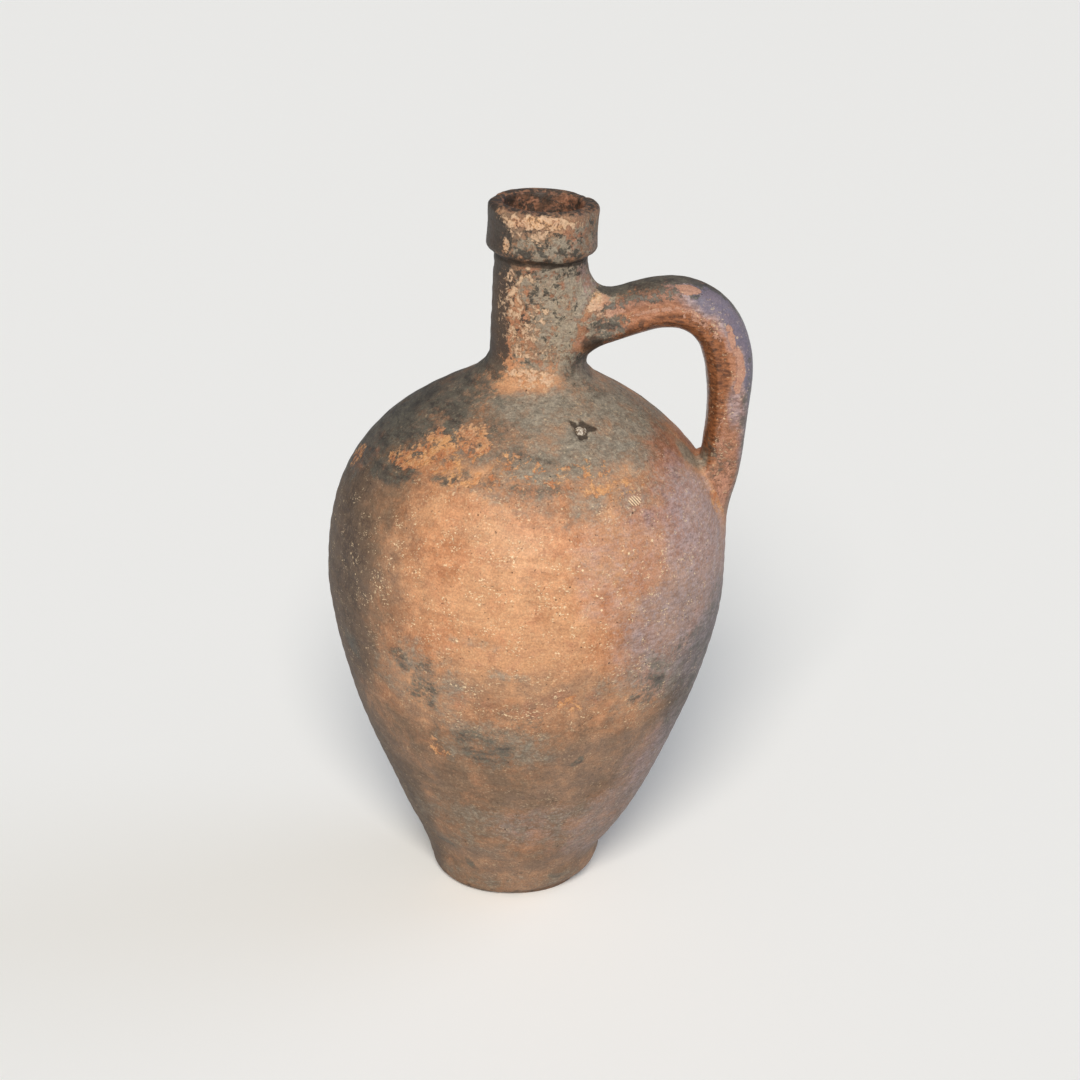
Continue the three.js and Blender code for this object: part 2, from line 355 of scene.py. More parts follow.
# Each patch on the jug: degrees round from the front towards the handle, height in mm, half-width
# in degrees, half-height in mm, strength in percent. A half-width over 180 makes a ring.
JUG_PATCHES = {
    # Soot. The rings at 400 and 406 mm are painted shade under the collar, and the patches at 66
    # degrees, 350 mm and 82 degrees, 358 mm painted shadow under the handle's neck root.
    "soot": (
        (-70, 312, 38, 23, 70), (-96, 296, 36, 32, 80), (-55, 285, 11, 8, 72), (-40, 324, 22, 8, 52),
        (-14, 314, 18, 8, 34), (-26, 293, 16, 6, 50), (0, 292, 14, 5, 34), (-8, 305, 16, 6, 40),
        (56, 336, 28, 13, 40), (-135, 305, 44, 32, 70), (165, 312, 50, 24, 60), (-78, 372, 40, 46, 100),
        (-52, 394, 21, 13, 90), (-52, 350, 17, 18, 66), (-44, 378, 12, 18, 56), (-62, 338, 26, 10, 80),
        (-80, 421, 40, 17, 100), (-46, 418, 14, 11, 74), (0, 419, 200, 12, 40), (10, 411, 50, 5, 50),
        (-140, 415, 40, 18, 60), (-156, 376, 60, 44, 44), (150, 352, 40, 16, 46),
        (0, 406, 200, 2.4, 50), (-20, 411, 20, 4, 60), (0, 437, 200, 3.5, 54), (-14, 376, 34, 44, 37),
        (0, 400, 200, 4.5, 44), (82, 358, 20, 18, 50), (-31, 168, 8, 17, 50), (-37, 180, 6, 8, 42),
        (-9, 128, 9, 11, 56), (-15, 138, 9, 7, 44), (0, 150, 9, 18, 30), (41, 172, 8, 17, 48),
        (20, 122, 2.4, 3.5, 80), (-62, 178, 5, 9, 50), (-40, 36, 8, 2.5, 55), (-27, 24, 3, 4, 55),
        (-20, 12, 12, 4, 40), (-140, 190, 24, 30, 42), (125, 150, 20, 26, 42), (168, 236, 30, 20, 40),
        (-108, 118, 20, 30, 42), (66, 150, 10, 18, 46), (56, 196, 10, 12, 44), (32, 16, 8, 4, 42),
        (30, 376, 30, 40, 26), (60, 420, 26, 14, 42), (70, 168, 18, 50, 40), (66, 350, 18, 14, 56),
    ),
    "ash": (
        (26, 310, 36, 19, 72), (-4, 306, 24, 13, 46), (60, 324, 34, 18, 74), (22, 289, 12, 8, 36),
        (-60, 318, 40, 20, 40), (24, 324, 70, 8, 80), (-24, 322, 20, 8, 50), (30, 376, 44, 44, 68),
        (-6, 392, 28, 13, 56), (6, 350, 44, 14, 50), (84, 364, 22, 28, 62), (24, 286, 50, 11, 32),
        (10, 415, 52, 9, 62), (54, 420, 30, 14, 50), (-4, 188, 6, 3.5, 52), (-13, 206, 7, 4, 42),
        (-31, 172, 18, 24, 42), (-8, 134, 20, 18, 44), (40, 172, 18, 22, 36), (100, 318, 40, 20, 55),
        (80, 285, 5, 9, 90), (175, 330, 60, 16, 50), (-120, 345, 60, 22, 42), (110, 380, 40, 40, 60),
        (-178, 372, 50, 44, 50), (150, 196, 22, 14, 40), (-150, 96, 22, 22, 40), (-6, 60, 60, 26, 26),
        (0, 12, 60, 8, 26),
    ),
    # Kiln bloom, partly painted bluish sky sheen on the right flank.
    "bloom": (
        (62, 250, 20, 44, 62), (80, 196, 30, 62, 56), (84, 100, 42, 52, 50), (46, 268, 13, 13, 36),
        (46, 204, 20, 42, 54), (34, 248, 22, 38, 32), (108, 240, 34, 44, 44), (150, 132, 36, 40, 36),
        (-165, 250, 26, 30, 32), (50, 60, 26, 34, 34), (10, 66, 20, 20, 24), (70, 372, 24, 50, 40),
    ),
    "bare": (
        (-41, 300, 15, 9, 62), (-28, 311, 13, 6, 60), (-52, 292, 9, 6, 62), (-22, 291, 13, 7, 46),
        (-8, 303, 12, 7, 42), (14, 298, 20, 7, 40), (30, 288, 14, 6, 40), (-86, 279, 8, 8, 55),
        (-6, 338, 36, 5.5, 62), (-28, 380, 15, 18, 52), (-20, 360, 22, 14, 52), (-14, 396, 14, 8, 42),
        (-38, 397, 8, 5, 56), (4, 372, 16, 14, 42), (16, 351, 18, 7, 46), (-48, 376, 14, 26, 42),
        (-8, 430, 44, 5, 72), (-41, 416, 5, 5, 70), (-30, 425, 12, 5, 50), (-2, 421, 18, 6, 46),
        (34, 430, 16, 4, 44), (17, 161, 5, 7, 50), (-27, 124, 6, 4.5, 50), (-150, 300, 15, 10, 60),
        (120, 340, 26, 6, 60), (-120, 380, 22, 14, 50), (155, 428, 30, 5, 60), (150, 300, 14, 9, 45),
        (-112, 425, 14, 5, 50), (82, 262, 7, 9, 62),
    ),
    # Drab earth. The patches on the left side, the rings round the lower body and the patch at 74
    # degrees low on the right are partly painted shade; the patch at 66 degrees, 344 mm is painted
    # shadow under the handle's neck root.
    "drab": (
        (0, 92, 200, 66, 76), (0, 16, 200, 50, 76), (-98, 214, 58, 140, 110), (-96, 60, 64, 110, 110),
        (74, 158, 30, 66, 96), (24, 314, 100, 20, 74), (0, 162, 200, 30, 50), (20, 290, 60, 12, 34),
        (-130, 210, 40, 60, 60), (160, 200, 40, 50, 50), (0, 420, 200, 30, 70), (30, 372, 60, 40, 50),
        (66, 344, 40, 16, 90), (84, 366, 26, 30, 80), (-30, 160, 20, 34, 44),
        (44, 172, 20, 24, 50), (46, 204, 22, 34, 46),
    ),
    "rust": (
        (46, 278, 14, 15, 55), (66, 298, 16, 15, 70), (30, 252, 12, 12, 26), (-2, 200, 34, 14, 30),
        (6, 166, 26, 9, 44), (0, 437, 200, 3, 40), (-172, 270, 30, 20, 50), (100, 282, 20, 18, 60),
        (38, 424, 16, 12, 50), (10, 376, 70, 44, 46), (54, 110, 14, 30, 30), (-78, 286, 12, 14, 50),
        (24, 44, 16, 8, 30),
    ),
    "polish": (
        (-14, 246, 46, 48, 40), (60, 240, 30, 50, 35), (-30, 168, 12, 14, 40), (0, 436, 200, 4, 30),
    ),
    # Painted shade: the ring and dark lines at 405 mm lie in the collar's undercut, and the line at 84
    # degrees, 350 mm under the handle's neck root. The ring at 3 mm darkens the foot's bottom edge.
    "dirt": (
        (0, 405, 200, 2.2, 66), (-34, 405, 24, 3, 80), (-4, 406, 16, 2.5, 70), (0, 3, 200, 3, 40),
        (84, 350, 16, 4, 70),
    ),
    "cream": ((0, 238, 60, 46, 70), (10, 170, 50, 30, 40), (70, 276, 10, 5, 50)),
}

# Each patch on the strap: degrees round the section (0 faces the front, 90 the top and outside,
# -90 the fingers), mm along from the neck, half-width in degrees, half-length in mm, strength in
# percent.
STRAP_PATCHES = {
    # The patch at -50 degrees by the neck end is painted shade under the handle's root.
    "soot": (
        (84, 48, 44, 30, 84), (108, 66, 36, 50, 80), (150, 70, 40, 60, 60), (120, 130, 36, 50, 60),
        (32, 46, 16, 30, 54), (-6, 20, 22, 14, 60), (60, 150, 34, 50, 44), (-20, 190, 50, 40, 34),
        (-50, 14, 40, 12, 50),
    ),
    "ash": (
        (78, 24, 40, 18, 66), (-8, 16, 36, 14, 60), (24, 216, 30, 14, 40), (70, 196, 30, 26, 40),
        (-58, 178, 26, 9, 90),
    ),
    # Bloom over the top and outside of the handle's bend, partly painted bluish sky reflection.
    "bloom": (
        (50, 86, 46, 26, 100), (76, 118, 54, 34, 100), (72, 150, 46, 40, 80), (16, 136, 16, 18, 60),
        (80, 190, 46, 40, 50),
    ),
    "bare": (
        (42, 66, 12, 6, 110), (20, 100, 9, 8, 80), (25, 113, 9, 12, 100), (18, 124, 8, 9, 90),
        (50, 18, 20, 9, 90), (18, 26, 9, 9, 56), (2, 60, 6, 30, 60), (-8, 86, 6, 20, 46),
        (-10, 160, 11, 24, 36), (8, 196, 26, 22, 60), (60, 224, 50, 14, 80),
    ),
    # The patch at -60 degrees by the neck end is painted shade under the handle's root.
    "drab": (
        (30, 46, 20, 36, 90), (30, 160, 50, 70, 66), (-60, 12, 50, 12, 70), (-6, 16, 40, 16, 85),
        (80, 30, 60, 50, 70),
    ),
    "rust": ((-10, 110, 70, 130, 80), (-90, 150, 80, 100, 60), (180, 150, 60, 100, 50)),
    "polish": ((-50, 100, 50, 96, 100), (80, 110, 50, 40, 42), (-150, 120, 50, 100, 80)),
    # Painted shade in the creases under the handle's two roots, on the finger side.
    "dirt": ((-70, 6, 60, 8, 70), (-80, 200, 50, 12, 50)),
    "cream": ((-4, 70, 8, 50, 60), (0, 150, 60, 60, 40), (-40, 214, 30, 10, 50)),
}

# A patch fades from nothing to its full strength between these shares of its half-size.
PATCH_RIM = (1.45, 0.55)

# What lies on the unseen inside of the walls.
INSIDE_COVER = {"rust": 0.9, "drab": 0.7, "soot": 0.46, "dirt": 0.46}


def degrees_apart(angle, centre):
    return (angle - centre + 180) % 360 - 180


def patch_weights(across, level, table):
    """For each channel, the strongest of its patches at each point, fading out over its rim."""
    weights = np.zeros((*across.shape, len(CHANNELS)))
    for index, channel in enumerate(CHANNELS):
        for centre, middle, half_width, half_height, strength in table[channel]:
            turned = 0 if half_width > 180 else degrees_apart(across, centre) / half_width
            reach = np.hypot(turned, (level - middle) / half_height)
            weight = strength / 100 * smoothstep(*PATCH_RIM, reach)
            weights[..., index] = np.maximum(weights[..., index], weight)
    return weights


def jug_cover(points):
    """Weights of every channel on the body, by azimuth and height, with frayed patch edges."""
    radius = from_axis(points)
    fray = np.clip(radius / 9, 3.5 * MM, 11 * MM)
    sideways = fray * rough_noise(points, 34 * MM, 11, 5)
    azimuth = azimuth_of(points) + np.degrees(sideways / np.maximum(radius, 10 * MM))
    level = (points[..., 2] + 0.9 * fray * rough_noise(points, 34 * MM, 12, 5)) / MM
    level = np.where(np.abs(points[..., 2] - COLLAR_BASE) < 4 * MM, points[..., 2] / MM, level)
    return patch_weights(azimuth, level, JUG_PATCHES)


def strap_cover(points, nearest, angle):
    """Weights of every channel on the handle, by length along it and angle round it."""
    along = (STRAP_ALONG[nearest] + 5 * MM * rough_noise(points, 18 * MM, 13)) / MM
    turned = np.degrees(angle) + 14 * rough_noise(points, 18 * MM, 14)
    return patch_weights(turned, along, STRAP_PATCHES)


def strap_share(points, to_strap):
    """1 where the surface is the handle's, 0 where it is the jug's."""
    return smoothstep(-4 * MM, 4 * MM, jug_distance(points) - to_strap)


def cover(points):
    """What lies on the clay at each point, painted shade and sheen included, the same for every piece
    that passes through it.
    """
    weights = jug_cover(points)
    near = (points[..., 0] > 15 * MM) & (points[..., 2] > 200 * MM) & (np.abs(points[..., 1]) < 70 * MM)
    if near.any():
        close = points[near]
        to_strap, nearest, angle = strap_distance(close)
        share = strap_share(close, to_strap)[:, None]
        weights[near] = weights[near] * (1 - share) + strap_cover(close, nearest, angle) * share
    from_plug = np.sqrt(((points - PLUG_PLACE) ** 2).sum(-1))
    rays = (points - PLUG_PLACE) / np.maximum(from_plug, 1 * MM)[..., None]
    ragged = 6.2 * MM * (1 + 0.65 * noise(rays, 0.42, 15))
    stain = 0.9 * smoothstep(3 * MM, -2.5 * MM, from_plug - ragged)
    dirt = CHANNELS.index("dirt")
    weights[..., dirt] = np.maximum(weights[..., dirt], stain)
    inner_side = np.minimum(outer_radius(points[..., 2]) - 3 * MM, COLLAR_RADIUS - 7 * MM)
    inside = from_axis(points) < inner_side
    weights[inside] = [INSIDE_COVER.get(channel, 0.0) for channel in CHANNELS]
    return weights


# ---- how the hand-made surface departs from its outline ----

# Each swelling: degrees round from the front towards the handle, height in mm, half-width in
# degrees, half-height in mm, and how far it stands out in mm.
SWELLINGS = (
    (-90, 300, 60, 34, 1.3),
    (90, 140, 60, 60, 1.0),
    (90, 66, 70, 34, 1.5),
    (-90, 70, 70, 30, -1.3),
    (-90, 24, 50, 12, 0.9),
    (70, 26, 26, 6, -1.4),
    (84, 14, 40, 8, 1.0),
    (42, 0, 44, 9, -3.6),
    (-20, 231, 30, 16, 0.4),
    (35, 96, 24, 14, -0.5),
    (150, 180, 40, 30, -0.9),
    (-150, 110, 34, 26, 0.8),
)


def swelling(azimuth, height):
    total = np.zeros(azimuth.shape)
    for centre, middle, half_width, half_height, amount in SWELLINGS:
        turned = degrees_apart(azimuth, centre) / half_width
        raised = (height / MM - middle) / half_height
        total += amount * MM * np.exp(-(turned**2 + raised**2))
    return total


def dents(points, count, low, high, seed):
    """Small shallow pits scattered over the walls between two heights."""
    draw = np.random.default_rng(seed)
    total = np.zeros(points.shape[:-1])
    for _ in range(count):
        turn = draw.uniform(0, 2 * math.pi)
        height = draw.uniform(low, high)
        radius = float(outer_radius(height))
        size = draw.uniform(1.2, 3.2) * MM
        depth = draw.uniform(0.2, 0.55) * MM
        centre = np.array([radius * math.cos(turn), radius * math.sin(turn), height])
        close = ((points - centre) ** 2).sum(-1) / size**2
        total -= depth * np.exp(-close)
    return total


def relief(points, weights):
    """How far the clay of the jug stands out from its plain outline."""
    height = points[..., 2]
    lumps = 0.45 * noise(points, 52 * MM, 21) + 0.22 * rough_noise(points, 15 * MM, 22)
    crust = rough_noise(points, 5 * MM, 23)
    at_neck = smoothstep(NECK_BASE - 6 * MM, NECK_BASE + 6 * MM, height)
    wheel = np.sin(2 * math.pi * height / (8.5 * MM) + 2.5 * noise(points, 60 * MM, 24))
    total = (lumps + (0.07 + 0.2 * at_neck) * crust + 0.1 * wheel) * MM
    bare = weights[..., CHANNELS.index("bare")]
    flaked = smoothstep(0.42, 0.58, bare + 0.5 * rough_noise(points, 7 * MM, 25))
    total -= 0.28 * MM * flaked
    from_plug = np.sqrt(((points - PLUG_PLACE) ** 2).sum(-1))
    total -= 1.3 * MM * np.exp(-((from_plug / PIT_RADIUS) ** 2))
    pit_rim = np.exp(-(((from_plug - PIT_RIM_RADIUS) / PIT_RIM_WIDTH) ** 2))
    total += 0.5 * MM * pit_rim * noise(points, 5 * MM, 26)
    return total + swelling(azimuth_of(points), height)


# ---- meshes ----

def grid_normals(grid):
    """Smooth normals of a grid of points (row, column) whose columns run round."""
    across = np.roll(grid, -1, axis=1) - np.roll(grid, 1, axis=1)
    along = np.gradient(grid, axis=0)
    normals = np.cross(across, along)
    length = np.linalg.norm(normals, axis=-1, keepdims=True)
    return normals / np.maximum(length, 1e-12)


def colour_layer(mesh, name, weights, channels):
    rgba = np.ones((weights[..., 0].size, 4), dtype=np.float32)
    for column, channel in enumerate(channels):
        rgba[:, column] = weights[..., CHANNELS.index(channel)].reshape(-1)
    attribute = mesh.color_attributes.new(name, "FLOAT_COLOR", "POINT")
    attribute.data.foreach_set("color", rgba.reshape(-1))


def closed_piece(node, rings, normals, hard_rows, looped):
    """A closed solid from rows of rings. Looped rows join last to first; the others end on caps.
    The gap after each hard row keeps a sharp edge, as does each cap."""
    rows, columns = rings.shape[:2]
    index = np.arange(rows * columns).reshape(rows, columns)
    first = index if looped else index[:-1]
    second = np.roll(index, -1, axis=0) if looped else index[1:]
    corners = [first, np.roll(first, -1, axis=1), np.roll(second, -1, axis=1), second]
    faces = np.stack(corners, axis=-1).reshape(-1, 4)
    face_list = faces.tolist()
    if not looped:
        face_list.append(index[0][::-1].tolist())
        face_list.append(index[-1].tolist())
    name = node + "_clay"
    mesh = bpy.data.meshes.new(name)
    mesh.from_pydata(rings.reshape(-1, 3).tolist(), [], face_list)
    mesh.polygons.foreach_set("use_smooth", [True] * len(face_list))
    mesh.update()
    face_normals = np.empty(len(face_list) * 3)
    mesh.polygons.foreach_get("normal", face_normals)
    corner_normals = np.repeat(face_normals.reshape(-1, 3), [len(face) for face in face_list], axis=0)
    smooth = np.ones(len(first), dtype=bool)
    smooth[hard_rows] = False
    smooth = np.repeat(smooth, columns * 4)
    skin = corner_normals[: len(smooth)]
    skin[smooth] = normals.reshape(-1, 3)[faces.reshape(-1)][smooth]
    mesh.normals_split_custom_set(corner_normals.tolist())
    weights = cover(rings)
    colour_layer(mesh, "films", weights, FILMS)
    colour_layer(mesh, "wear", weights, WEAR)
    colour_layer(mesh, "marks", weights, MARKS)
    piece = bpy.data.objects.new(name, mesh)
    bpy.context.scene.collection.objects.link(piece)
    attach(piece, "root")
    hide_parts(node)
    return piece


def circle(count):
    turn = 2 * math.pi * np.arange(count) / count
    return np.cos(turn), np.sin(turn)


def revolve(radii, levels, count):
    """Rings of points: one ring for each radius and height."""
    cos, sin = circle(count)
    radii = np.broadcast_to(np.asarray(radii)[:, None], (len(radii), count))
    levels = np.broadcast_to(np.asarray(levels)[:, None], (len(levels), count))
    return np.stack([radii * cos, radii * sin, levels], axis=-1)


def spaced(start, end, step):
    return np.linspace(start, end, max(2, int(round((end - start) / step)) + 1))


# ---- the turned pieces ----

def outer_sheet(levels, count):
    """The outside of the jug at the given heights, swept up onto the handle's roots, with its
    normals. One more ring at each end gives normals that match the neighbouring piece."""
    padded = np.concatenate([[levels[0] - OUTER_STEP], levels, [levels[-1] + OUTER_STEP]])
    grid = revolve(outer_radius(padded), padded, count)
    slope = outer_slope(padded)
    cos, sin = circle(count)
    steep = np.hypot(1, slope)[:, None]
    fall = np.broadcast_to(-slope[:, None] / steep, (len(padded), count))
    direction = np.stack([cos / steep, sin / steep, fall], axis=-1)
    near = strap_distance(grid)[0] < 20 * MM
    out = relief(grid, cover(grid))
    out += dents(grid, 150, 8 * MM, 330 * MM, 31)
    out += dents(grid, 40, 335 * MM, 402 * MM, 32)
    grid[near] = pushed_out(grid[near], direction[near], 12 * MM)
    handle_side = strap_share(grid, strap_distance(grid)[0])
    out = out * (1 - handle_side) - SEAM_DEPTH * handle_side
    grid += out[..., None] * direction
    return grid[1:-1], grid_normals(grid)[1:-1]


def wall_piece(node, low, high, count):
    outside, outside_normals = outer_sheet(spaced(low, high, OUTER_STEP), count)
    inner_levels = spaced(low, high, INNER_STEP)
    inside = revolve(inner_radius(inner_levels), inner_levels, count)[::-1]
    rings = np.concatenate([outside, inside])
    normals = np.concatenate([outside_normals, grid_normals(inside)])
    return closed_piece(node, rings, normals, [len(outside) - 1, len(rings) - 1], True)


def foot_piece():
    heel = spaced(0.5 * MM, HEEL, 0.8 * MM)
    upstand = spaced(HEEL + OUTER_STEP, FOOT_TOP, OUTER_STEP)
    outside, outside_normals = outer_sheet(np.concatenate([heel, upstand]), AROUND_BODY)
    contact = from_axis(outside[0]).min() - 1.5 * MM
    under_radii = spaced(3 * MM, contact, 3 * MM)
    under = revolve(under_radii, np.zeros(len(under_radii)), AROUND_BODY)
    inner_foot = inner_radius(FOOT_TOP)
    turn = np.linspace(0, math.pi / 2, 8)
    cove_radii = inner_foot - 1 * MM - FLOOR_COVE * (1 - np.cos(turn))
    cove_levels = FLOOR_LEVEL + FLOOR_COVE * (1 - np.sin(turn))
    floor_radii = spaced(3 * MM, inner_foot - 2 * FLOOR_COVE, 6 * MM)[::-1]
    inside = revolve(
        np.concatenate([[inner_foot], cove_radii, floor_radii]),
        np.concatenate([[FOOT_TOP], cove_levels, np.full(len(floor_radii), FLOOR_LEVEL)]),
        AROUND_BODY,
    )
    rings = np.concatenate([under, outside, inside])
    normals = np.concatenate([grid_normals(under), outside_normals, grid_normals(inside)])
    return closed_piece("foot", rings, normals, [len(under) + len(outside) - 1], False)


def collar_outline():
    """Radii and heights round the collar's section, from its undercut out, up, over the lip and
    down the bore."""
    undercut = 28.2 * MM
    lip = 3.5 * MM
    inner_lip = 3 * MM
    turn = np.linspace(0, math.pi / 2, 9)
    shelf = np.array([[undercut, 0], [undercut + 0.6 * MM, 1.2 * MM]])
    under = np.array([[COLLAR_RADIUS - 1.6 * MM, 2.6 * MM], [COLLAR_RADIUS - 0.4 * MM, 4.2 * MM]])
    shelf = np.vstack([shelf, (shelf[1] + under[0]) / 2, under])
    side = spaced(5.4 * MM, HEIGHT - COLLAR_BASE - lip - 0.8 * MM, COLLAR_STEP)
    waist = 0.5 * MM * np.sin((side - side[0]) / (side[-1] - side[0]) * math.pi)
    down = spaced(COLLAR_BASE, HEIGHT - inner_lip - 1.5 * MM, 1.5 * MM)[::-1]
    taper = (down - COLLAR_BASE) / (HEIGHT - COLLAR_BASE)
    radii = [
        shelf[:, 0],
        COLLAR_RADIUS - waist,
        COLLAR_RADIUS - lip * (1 - np.cos(turn)),
        MOUTH_RADIUS + inner_lip * (1 - np.sin(turn)),
        MOUTH_BORE + (MOUTH_RADIUS - MOUTH_BORE) * np.sqrt(taper),
    ]
    levels = [
        COLLAR_BASE + shelf[:, 1],
        COLLAR_BASE + side,
        HEIGHT - lip * (1 - np.sin(turn)),
        HEIGHT - inner_lip * (1 - np.cos(turn)),
        down,
    ]
    return np.concatenate(radii), np.concatenate(levels)


# Chips along the collar's top edge: degrees round from the front, half-width in degrees, depth in mm.
LIP_CHIPS = (
    (-46, 9, 1.1),
    (-30, 6, 0.6),
    (-12, 12, 0.9),
    (8, 7, 0.7),
    (26, 9, 0.9),
    (62, 12, 1.3),
    (128, 10, 0.8),
    (-110, 14, 0.9),
)


def collar_piece():
    radii, levels = collar_outline()
    rings = revolve(radii, levels, AROUND_NECK)
    normals = grid_normals(rings)
    azimuth = azimuth_of(rings)
    reach = from_axis(rings)
    level = rings[..., 2] - COLLAR_BASE
    top = smoothstep(HEIGHT - 9 * MM, HEIGHT - 1 * MM, rings[..., 2])
    outer_edge = smoothstep(MOUTH_RADIUS + 2 * MM, COLLAR_RADIUS - 3 * MM, reach)
    out = (0.25 * noise(rings, 24 * MM, 41) + 0.16 * rough_noise(rings, 4 * MM, 42)) * MM
    droop = 1 - smoothstep(3 * MM, 11 * MM, level)
    out += (0.9 * noise(rings, 13 * MM, 43) + 0.1) * MM * droop
    bare = cover(rings)[..., CHANNELS.index("bare")]
    flaked = smoothstep(0.42, 0.58, bare + 0.5 * rough_noise(rings, 5 * MM, 44))
    out -= 0.3 * MM * flaked
    for centre, half_width, depth in LIP_CHIPS:
        ragged = degrees_apart(azimuth, centre) / half_width + 0.5 * noise(rings, 3 * MM, 45)
        out -= depth * MM * np.exp(-(ragged**2)) * top * outer_edge
    settled = smoothstep(0, 2 * MM, level)
    out *= np.where(reach > MOUTH_RADIUS, 1, settled)
    out[-1] = 0
    rings = rings + out[..., None] * normals
    rings[..., 2] = np.clip(rings[..., 2], COLLAR_BASE, HEIGHT)
    return closed_piece("rim_collar", rings, grid_normals(rings), [len(rings) - 1], True)


# ---- the handle ----

def strap_sheet():
    """The handle's surface as rows of rings along it, sunk just inside the jug past its roots."""
    angle = -2 * math.pi * np.arange(AROUND_STRAP) / AROUND_STRAP
    along = STRAP_ALONG[:, None]
    reach = strap_section_radius(angle[None, :], along)
    side = -np.cos(angle)[None, :] * np.ones_like(along)
    out = np.sin(angle)[None, :] * np.ones_like(along)
    direction = np.stack([out * STRAP_OUTWARD[:, :1], side, out * STRAP_OUTWARD[:, 1:]], axis=-1)
    middle = np.stack([STRAP_MIDDLE[:, 0], np.zeros(len(STRAP_MIDDLE)), STRAP_MIDDLE[:, 1]], axis=-1)
    grid = middle[:, None] + reach[..., None] * direction
    lumps = 0.4 * noise(grid, 30 * MM, 51) + 0.2 * rough_noise(grid, 9 * MM, 52)
    lumps += 0.08 * noise(grid, 2.6 * MM, 53)
    near = jug_distance(grid) < 22 * MM
    grid[near] = pushed_out(grid[near], direction[near], 11 * MM)
    jug_side = 1 - strap_share(grid, strap_distance(grid)[0])
    out = lumps * MM * (1 - jug_side) - SEAM_DEPTH * jug_side
    grid += out[..., None] * direction
    least = inner_radius(grid[..., 2]) + 1 * MM
    grid[..., :2] *= np.maximum(1, least / from_axis(grid))[..., None]
    return grid


def strap_pieces():
    grid = strap_sheet()
    normals = grid_normals(grid)
    rows = len(grid)
    neck_cut = int(NECK_LUTE_SHARE * rows)
    shoulder_cut = int(SHOULDER_LUTE_SHARE * rows)
    parts = (
        ("handle_neck_lute", 0, neck_cut),
        ("handle", neck_cut, shoulder_cut),
        ("handle_shoulder_lute", shoulder_cut, rows - 1),
    )
    return [
        closed_piece(node, grid[first : last + 1], normals[first : last + 1], [], False)
        for node, first, last in parts
    ]


# ---- the plugged hole in the shoulder ----

def plug_piece():
    """A lumpy bead of filler pressed into the small hole, wider than it is tall."""
    turn = np.array(Vector(PLUG_FACING).to_track_quat("Z", "Y").to_matrix())
    rows, columns = 22, 40
    polar = np.linspace(0.06, math.pi - 0.06, rows)
    cos, sin = circle(columns)
    across = np.sin(polar)[:, None]
    along = np.broadcast_to(np.cos(polar)[:, None], (rows, columns))
    ball = np.stack([across * cos, across * sin, along], axis=-1)
    size = np.array([3.7, 3.3, 2.6]) * MM
    lump = 1 + 0.2 * rough_noise(ball * 3 * MM, 2.6 * MM, 61)
    points = ball * size * lump[..., None]
    placed = points @ turn.T + PLUG_PLACE - PLUG_FACING * 0.9 * MM
    rings = placed[::-1]
    return closed_piece("shoulder_plug", rings, grid_normals(rings), [], False)


# ---- materials ----

# The patterns that break up the clay: size in mm, seed, detail, roughness, flattening and warp.
PATTERNS = {
    "broad": (42, 1, 4, 0.55, 1, 0),
    "mottle": (10, 2, 7, 0.62, 1, 0.3),
    "blotch": (17, 3, 11, 0.72, 1, 0.3),
    "cloud": (13, 12, 11, 0.72, 1.6, 0.2),
    "flakes": (6, 4, 10, 0.72, 1, 0.4),
    "small_cloud": (5.5, 16, 10, 0.72, 1, 0.3),
    "chips": (4, 17, 8, 0.72, 1, 0.6),
    "fine": (2.4, 5, 5, 0.66, 1, 0),
    "grain": (1.1, 6, 3, 0.6, 1, 0),
    "streaks": (17, 7, 8, 0.66, 5, 0),
    "brushed": (5, 8, 6, 0.64, 3, 0),
    "gritty": (8, 13, 3, 0.6, 1, 0),
    "flecks": (1.6, 14, 3, 0.6, 1.5, 0),
    "crumbly": (1.9, 15, 4, 0.62, 1, 0),
}

# How each layer is coloured, in sRGB codes. First the pattern that leads from one tone to another,
# with its low and high; then tones dabbed over those: pattern, low, high, share and tone.
LAYERS = {
    "clay": (
        ("mottle", 0.34, 0.66, "a56e49", "c98f66"),
        ("broad", 0.4, 0.62, 0.5, "cda077"),
        ("streaks", 0.46, 0.66, 0.34, "8f6348"),
        ("blotch", 0.5, 0.64, 0.26, "b26f4e"),
        ("fine", 0.5, 0.66, 0.26, "dfba91"),
        ("cloud", 0.54, 0.66, 0.34, "8e6b52"),
    ),
    # The drab earth's tones: on the left side and the lower body they are partly painted shade, and the
    # darkest stand mostly for shade.
    "earth_tones_and_shade": (
        ("streaks", 0.38, 0.6, "614f3f", "74604c"),
        ("broad", 0.42, 0.6, 0.6, "756155"),
        ("cloud", 0.52, 0.64, 0.45, "936a4a"),
    ),
    "dark_earth_tones_and_shade": (("mottle", 0.38, 0.62, "38312a", "4d4236"),),
    "rust": (("brushed", 0.38, 0.62, "84543b", "a8745a"),),
    "varnish": (
        ("brushed", 0.36, 0.62, "57331f", "935c38"),
        ("flakes", 0.53, 0.62, 0.75, "33261d"),
    ),
    # Kiln bloom, partly painted bluish sky sheen.
    "bloom": (("brushed", 0.36, 0.62, "756a6e", "a0959b"),),
    "ash": (
        ("brushed", 0.36, 0.62, "716b5f", "928a7b"),
        ("fine", 0.5, 0.66, 0.5, "aca18e"),
        ("cloud", 0.52, 0.62, 0.5, "8a705a"),
    ),
    # Soot, also the colour of the painted shade under the collar and the handle's roots.
    "soot": (
        ("streaks", 0.36, 0.62, "373532", "59554c"),
        ("fine", 0.5, 0.66, 0.45, "75715f"),
    ),
    "bare": (
        ("mottle", 0.38, 0.62, "aa6c45", "c9925f"),
        ("fine", 0.48, 0.64, 0.35, "d8b08a"),
    ),
}


